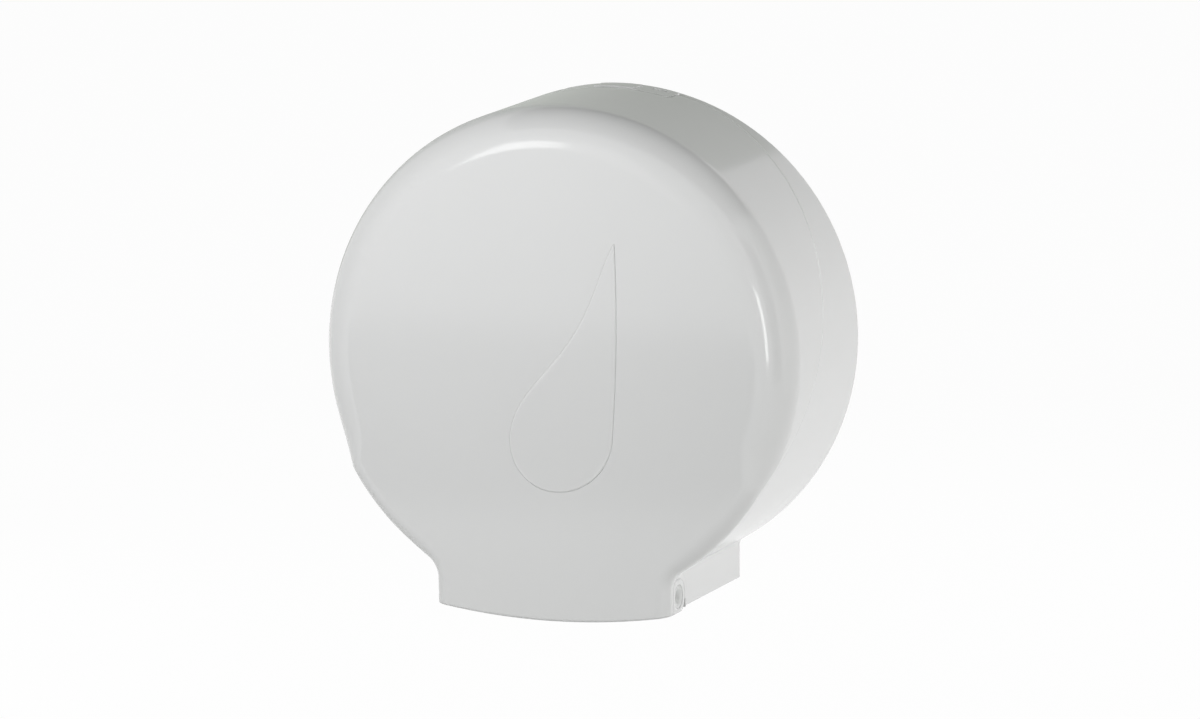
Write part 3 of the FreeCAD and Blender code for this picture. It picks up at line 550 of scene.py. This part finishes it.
def drop_sides(count=200):
    """Left and right side of the drop's outline, each from the foot's lowest point up to the tip."""
    def at(share):
        return np.array([drop_centre_x + share[0] * drop_half_width, drop_low_z + share[1] * drop_height])

    tip, right_high, right_low, bottom = (
        at(s) for s in (drop_tip_share, *drop_right_shares, drop_bottom_share))
    foot_right, foot_left = (at(s) for s in drop_bottom_middle_shares)
    side = [at(s) for s in drop_left_shares] + [tip]
    right = np.concatenate([arc_through(bottom, foot_right, right_low, count)[:-1],
                            arc_through(right_low, right_high, tip, count)])
    knots = np.cumsum([0] + [np.linalg.norm(b - a) for a, b in zip(side, side[1:])])
    bow = [np.polyfit(knots, [p[axis] for p in side], len(side) - 1) for axis in (0, 1)]
    along = np.linspace(0, knots[-1], count)
    bowed = np.stack([np.polyval(bow[0], along), np.polyval(bow[1], along)], axis=1)
    left = np.concatenate([arc_through(bottom, foot_left, side[0], count)[:-1], bowed])
    return left, right


def rounded_end(left_out, right_out, count=6):
    """Ways out that turn from each side's own at the tip to the one between them."""
    halfway = left_out + right_out
    halfway /= np.linalg.norm(halfway)
    share = np.linspace(0, 1, count)[1:, None]
    ways = [out + (halfway - out) * share for out in (left_out, right_out)]
    return [way / np.linalg.norm(way, axis=1)[:, None] for way in ways]


def cover_drop(levels=170, steps=9, across=24):
    """Raised drop on the crowned face: level by level from the foot to the tip.

    A level runs from below the face over the left side's soft edge, across the top, over the right
    edge and back underneath. Where the tip is narrower than its edges, they stop at its middle, so
    that it also grows low.
    """
    low, high = drop_low_z, drop_low_z + drop_height
    share = np.linspace(0, 1, levels)
    level = low + (high - low) * (1 - np.cos(share * math.pi / 2))
    sides, ways = [], []
    for side, hand in zip(drop_sides(), (-1, 1)):
        points = np.stack([np.interp(level, side[:, 1], side[:, 0]), level], axis=1)
        ahead = np.gradient(points, axis=0)
        out = np.stack([ahead[:, 1], -ahead[:, 0]], axis=1) * hand
        sides.append(points)
        ways.append(out / np.linalg.norm(out, axis=1)[:, None])
    ends = rounded_end(ways[0][-1], ways[1][-1])
    sides = [np.concatenate([side, np.repeat(side[-1:], len(ends[0]), axis=0)]) for side in sides]
    ways = [np.concatenate([way, end]) for way, end in zip(ways, ends)]
    room = np.linalg.norm(sides[1] - sides[0], axis=1)[:, None] / 2 * np.abs(ways[0][:, :1])
    deepest = np.where(level[0] + drop_edge > sides[0][:, 1], drop_edge, room[:, 0])[:, None]
    offsets = np.maximum(np.linspace(0.5, -0.5, steps)[None, :] * drop_edge, -deepest)
    rise = drop_relief * smooth(0.5 - offsets / drop_edge)
    left, right = (side[:, None, :] + way[:, None, :] * offsets[:, :, None]
                   for side, way in zip(sides, ways))
    mix = np.linspace(0, 1, across)[None, 1:-1, None]
    top = left[:, -1:] + (right[:, -1:] - left[:, -1:]) * mix
    under = right[:, :1] + (left[:, :1] - right[:, :1]) * mix
    flat = np.concatenate([left, top, right[:, ::-1], under, left[:, :1]], axis=1)
    rise[:, 0] = -drop_sink
    top_rise = np.repeat(rise[:, -1:], across - 2, axis=1)
    under_rise = np.full_like(top_rise, -drop_sink)
    rise = np.concatenate([rise, top_rise, rise[:, ::-1], under_rise, rise[:, :1]], axis=1)
    y = face_depth(flat[:, :, 0], flat[:, :, 1]) - rise
    points = np.stack([flat[:, :, 0], y, flat[:, :, 1]], axis=2)
    points, faces = welded(points.reshape(-1, 3), grid_faces(*points.shape[:2]))
    item = piece("cover_drop", points, faces, "cover", cover_finish, sharp_degrees=60)


def turned_bar(centre, section, turns, count):
    """Closed skin of a four cornered section turned about an axis along Y; part of a turn is capped."""
    turn = np.linspace(turns[0], turns[1], count)[:, None]
    section = np.array(section + section[:1])
    radius, depth = section[None, :, 0], section[None, :, 1]
    x = centre[0] + radius * np.sin(turn)
    z = centre[1] + radius * np.cos(turn)
    points = np.stack([x, np.broadcast_to(depth, x.shape), z], axis=2).reshape(-1, 3)
    last = (count - 1) * len(section)
    caps = np.array([[3, 2, 1, 0], [last, last + 1, last + 2, last + 3]])
    faces = grid_faces(count, len(section))
    full = turns[1] - turns[0] == 2 * math.pi
    return points, faces if full else np.concatenate([faces, caps])


def cover_inside(pad_points=12, catch_points=14):
    """Inner forms of the cover: ear pads with the pins' bores, the catch rib and the strip's bosses."""
    top = hinge_z + ear_radius
    pad = ear_rings(np.linspace(top, -neck_length, pad_points), pad_front, pin_hole_radius)
    pad_side = np.full(pad.shape[:2] + (1,), neck_half_width - dimple_depth + pad_overlap)
    pad = np.concatenate([pad_side, pad], axis=2)
    points, faces, start = [], [], 0
    for side in (pad, mirrored(pad)):
        faces.append(grid_faces(*side.shape[:2], start, side is not pad))
        points.append(side.reshape(-1, 3))
        start += side.shape[0] * side.shape[1]
    points, faces = welded(np.concatenate(points), np.concatenate(faces))
    item = piece("cover_ears", points, faces, "cover", cover_finish)
    wall = item.modifiers.new("wall", "SOLIDIFY")
    wall.thickness = ear_thickness - dimple_depth + pad_overlap
    wall.offset = -1

    inner = body_radius - cover_wall
    swing = math.asin(catch_half_width / inner)
    low, high = inner - catch_height, inner + cover_wall / 2
    catch = turned_bar((0, 0), [(low, -notch_depth - catch_depth), (low, -notch_depth), (high, -notch_depth),
                                (high, -notch_depth - catch_depth)], (-swing, swing), catch_points)
    strip_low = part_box("front_tear_strip")[0]
    bars = [catch]
    for screw_x in (-strip_screw_x, strip_screw_x):
        seat = strip_low.y
        front = float(face_depth(screw_x, strip_low.z, cover_wall / 2))
        ring = [(small_hole_radius, seat), (strip_boss_radius, seat), (strip_boss_radius, front),
                (small_hole_radius, front)]
        centre = (screw_x, strip_low.z + strip_screw_rise)
        bars.append(turned_bar(centre, ring, (0, 2 * math.pi), circle_points))
    points = np.concatenate([bar[0] for bar in bars])
    starts = np.cumsum([0] + [len(bar[0]) for bar in bars[:-1]])
    faces = np.concatenate([bar[1] + first for bar, first in zip(bars, starts)])
    item = piece("cover_catch", *welded(points, faces), "cover", cover_finish)


def hinge_pin(name, side, dish_points=16):
    """Pin turned about the hinge axis: shank with a groove for its clip, flange and dished face.

    At a radius r the dish sinks by its depth times (1 less r squared over R squared) to a power.
    """
    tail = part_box("hinge_pin_right")[0].x
    seat = neck_half_width - dimple_depth
    rim = neck_half_width - pin_flange_setback
    groove_low, groove_high = pin_groove_x
    radius = np.linspace(pin_dish_radius, 0, dish_points)
    sunk = pin_dish_depth * (1 - (radius / pin_dish_radius) ** 2) ** pin_dish_steepness
    outline = np.array([(tail, 0), (tail, pin_radius), (groove_low, pin_radius),
                        (groove_low, pin_groove_radius), (groove_high, pin_groove_radius),
                        (groove_high, pin_radius), (seat, pin_radius), (seat, pin_flange_radius),
                        (rim, pin_flange_radius), *zip(rim - sunk, radius)])
    turn = np.linspace(0, 2 * math.pi, circle_points)[:, None]
    x = np.broadcast_to(outline[None, :, 0], (circle_points, len(outline)))
    y = hinge_y + outline[None, :, 1] * np.cos(turn)
    z = hinge_z + outline[None, :, 1] * np.sin(turn)
    points = np.stack([side * x, y, z], axis=2).reshape(-1, 3)
    points, faces = welded(points, grid_faces(circle_points, len(outline), 0, side > 0))
    item = piece(name + "_form", points, faces, "shell", pin_finish)
    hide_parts(name)


front_cover()
cover_drop()
cover_inside()
copied("rear_shell", "shell", shell_finish)
lowered_hump(copied("latch_tongue", "latch", latch_finish))
hinge_pin("hinge_pin_left", -1)
hinge_pin("hinge_pin_right", 1)

# The spring rides on no body, because it bends between two
spring = copied("latch_spring", None, spring_finish)
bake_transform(spring)

# Solids that keep their own shape and get a finish
for finish, names in (
        (inner_finish, ("latch_bracket", "spindle_post", "rear_tear_bar")),
        (hub_finish, ("core_hub", "hub_end_cap")),
        (acetal_finish, ("hub_washer",)),
        (spring_finish, ("hinge_clips", "latch_pivot_pin")),
        (strip_finish, ("front_tear_strip",)),
        (zinc_finish, ("latch_screws", "spindle_screws", "hub_cap_screw", "front_strip_screws",
                       "rear_bar_screws"))):
    for name in names:
        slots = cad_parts[name].data.materials
        slots.clear()
        slots.append(finish)


# Camera, from a fit to the outline in the picture
camera_place = Vector((1.6535, -4.6076, 0.7671))
camera_turn = math.radians(19.92)
camera_drop = math.radians(9.126)
sensor_width = 36.0
lens = 270.0
view_reach = 100

camera = bpy.data.cameras.new("camera")
camera.sensor_width = sensor_width
camera.lens = lens
camera.clip_end = view_reach
viewer = bpy.data.objects.new("camera", camera)
bpy.context.scene.collection.objects.link(viewer)
looking = Vector((-math.sin(camera_turn) * math.cos(camera_drop),
                  math.cos(camera_turn) * math.cos(camera_drop), -math.sin(camera_drop)))
viewer.location = camera_place
viewer.rotation_mode = "QUATERNION"
viewer.rotation_quaternion = looking.to_track_quat("-Z", "Y")
bpy.context.scene.camera = viewer


# Studio: the point that the lamps face, the light from all round, and the floor below the dispenser
middle = (0.0, -body_depth / 2, 0.0)
world_tint = (0.97, 1.0, 0.95, 1.0)
world_strength = 0.27
board_tint = (0.96, 1.0, 0.94, 1.0)
white = (1.0, 1.0, 1.0, 1.0)
floor_drop = 0.35
floor_reach = 6.0
floor_grey = (0.8, 0.8, 0.8, 1.0)
floor_white_share = 0.97


def turn_to(place, aim):
    """Rotation that points an object's -Z from a place to a point."""
    return (Vector(aim) - Vector(place)).to_track_quat("-Z", "Y")


def panel(name, place, width, height, power, colour=(1.0, 1.0, 1.0)):
    """Area lamp at a place, facing the dispenser's middle; the camera doesn't see it."""
    lamp = bpy.data.lights.new(name, "AREA")
    lamp.shape = "RECTANGLE"
    lamp.size = width
    lamp.size_y = height
    lamp.energy = power
    lamp.color = colour
    item = bpy.data.objects.new(name, lamp)
    bpy.context.scene.collection.objects.link(item)
    item.location = place
    item.rotation_mode = "QUATERNION"
    item.rotation_quaternion = turn_to(place, middle)
    item.visible_camera = False
    return item


def flag(name, place, aim, width, height, shade):
    """Studio board of an even, mostly dark level that the gloss reflects; the camera doesn't see it."""
    corners = [(-width / 2, -height / 2, 0), (width / 2, -height / 2, 0),
               (width / 2, height / 2, 0), (-width / 2, height / 2, 0)]
    turn = turn_to(place, aim)
    made, tree = material(name)
    shader = node(tree, "ShaderNodeEmission", {}, {"Color": board_tint, "Strength": shade})
    item = mesh_object(name, [Vector(place) + turn @ Vector(c) for c in corners], [(0, 1, 2, 3)],
                       ending(made, tree, shader))
    item.visible_camera = False
    return item


def seen_directly(tree):
    """1 for what the camera, the gloss or a clear piece shows, and 0 for all other light."""
    seen = 0.0
    for ray in ("Is Camera Ray", "Is Glossy Ray", "Is Transmission Ray"):
        path = node(tree, "ShaderNodeLightPath", output=ray)
        seen = node(tree, "ShaderNodeMath", {"operation": "ADD", "use_clamp": True}, {0: seen, 1: path})
    return seen


def daylight():
    """World: white to the camera and in the gloss, soft grey light for everything else."""
    world = bpy.data.worlds.new("studio")
    bpy.context.scene.world = world
    world.use_nodes = True
    tree = world.node_tree
    tree.nodes.clear()
    light = node(tree, "ShaderNodeBackground", {}, {"Color": world_tint, "Strength": world_strength})
    backdrop = node(tree, "ShaderNodeBackground", {}, {"Color": white, "Strength": 1.0})
    shown = node(tree, "ShaderNodeMixShader", {}, {0: seen_directly(tree), 1: light, 2: backdrop})
    node(tree, "ShaderNodeOutputWorld", {}, {"Surface": shown})


def floor():
    """Pale floor below the dispenser that stays white to the camera around its shadow."""
    level = cad_low.z - floor_drop
    corners = [(-floor_reach, -floor_reach, level), (floor_reach, -floor_reach, level),
               (floor_reach, floor_reach, level), (-floor_reach, floor_reach, level)]
    made, tree = material("floor")
    plain = node(tree, "ShaderNodeBsdfDiffuse", {}, {"Color": floor_grey})
    lit = node(tree, "ShaderNodeEmission", {}, {"Color": white, "Strength": 1.0})
    share = seen_directly(tree) * floor_white_share
    shown = node(tree, "ShaderNodeMixShader", {}, {0: share, 1: plain, 2: lit})
    mesh_object("floor", corners, [(0, 1, 2, 3)], ending(made, tree, shown))


panel("top_strip", (-0.85, -1.94, 0.64), width=0.42, height=0.6, power=3.1)
panel("right_strip", (1.43, -1.63, 0.09), width=0.25, height=0.7, power=3.4)

# Fill lamps that the gloss doesn't show: name, place, size, power and colour
for name, place, size, power, colour in (
        ("front_fill", (-0.2, -0.75, 0.34), 0.4, 2.85, (0.985, 0.975, 1.0)),
        ("right_fill", (2.2, 0.35, -0.2), 1.6, 28.0, (1.0, 0.985, 1.0)),
        ("left_fill", (-1.7, 1.2, 0.1), 1.0, 14.0, (0.985, 0.985, 1.0)),
        ("back_fill", (0.5, 2.3, 0.1), 1.0, 14.0, (1.0, 0.99, 1.0))):
    panel(name, place, size, size, power, colour).visible_glossy = False

flag("flag_top", (0.35, 0.6, 1.5), aim=(0.35, 0.6, 0.0), width=2.6, height=3.0, shade=0.08)
flag("flag_back", (-0.92, 2.07, 0.9), aim=middle, width=2.7, height=2.4, shade=0.56)
flag("flag_low", (-0.5, -1.6, -0.45), aim=middle, width=1.8, height=0.5, shade=0.02)
gloss_flag = flag("flag_right", (1.85, -0.85, 0.35), aim=middle, width=0.8, height=1.8, shade=0.02)
gloss_flag.visible_diffuse = False
gloss_flag.visible_shadow = False
daylight()
floor()

bpy.context.scene.view_settings.view_transform = "Standard"
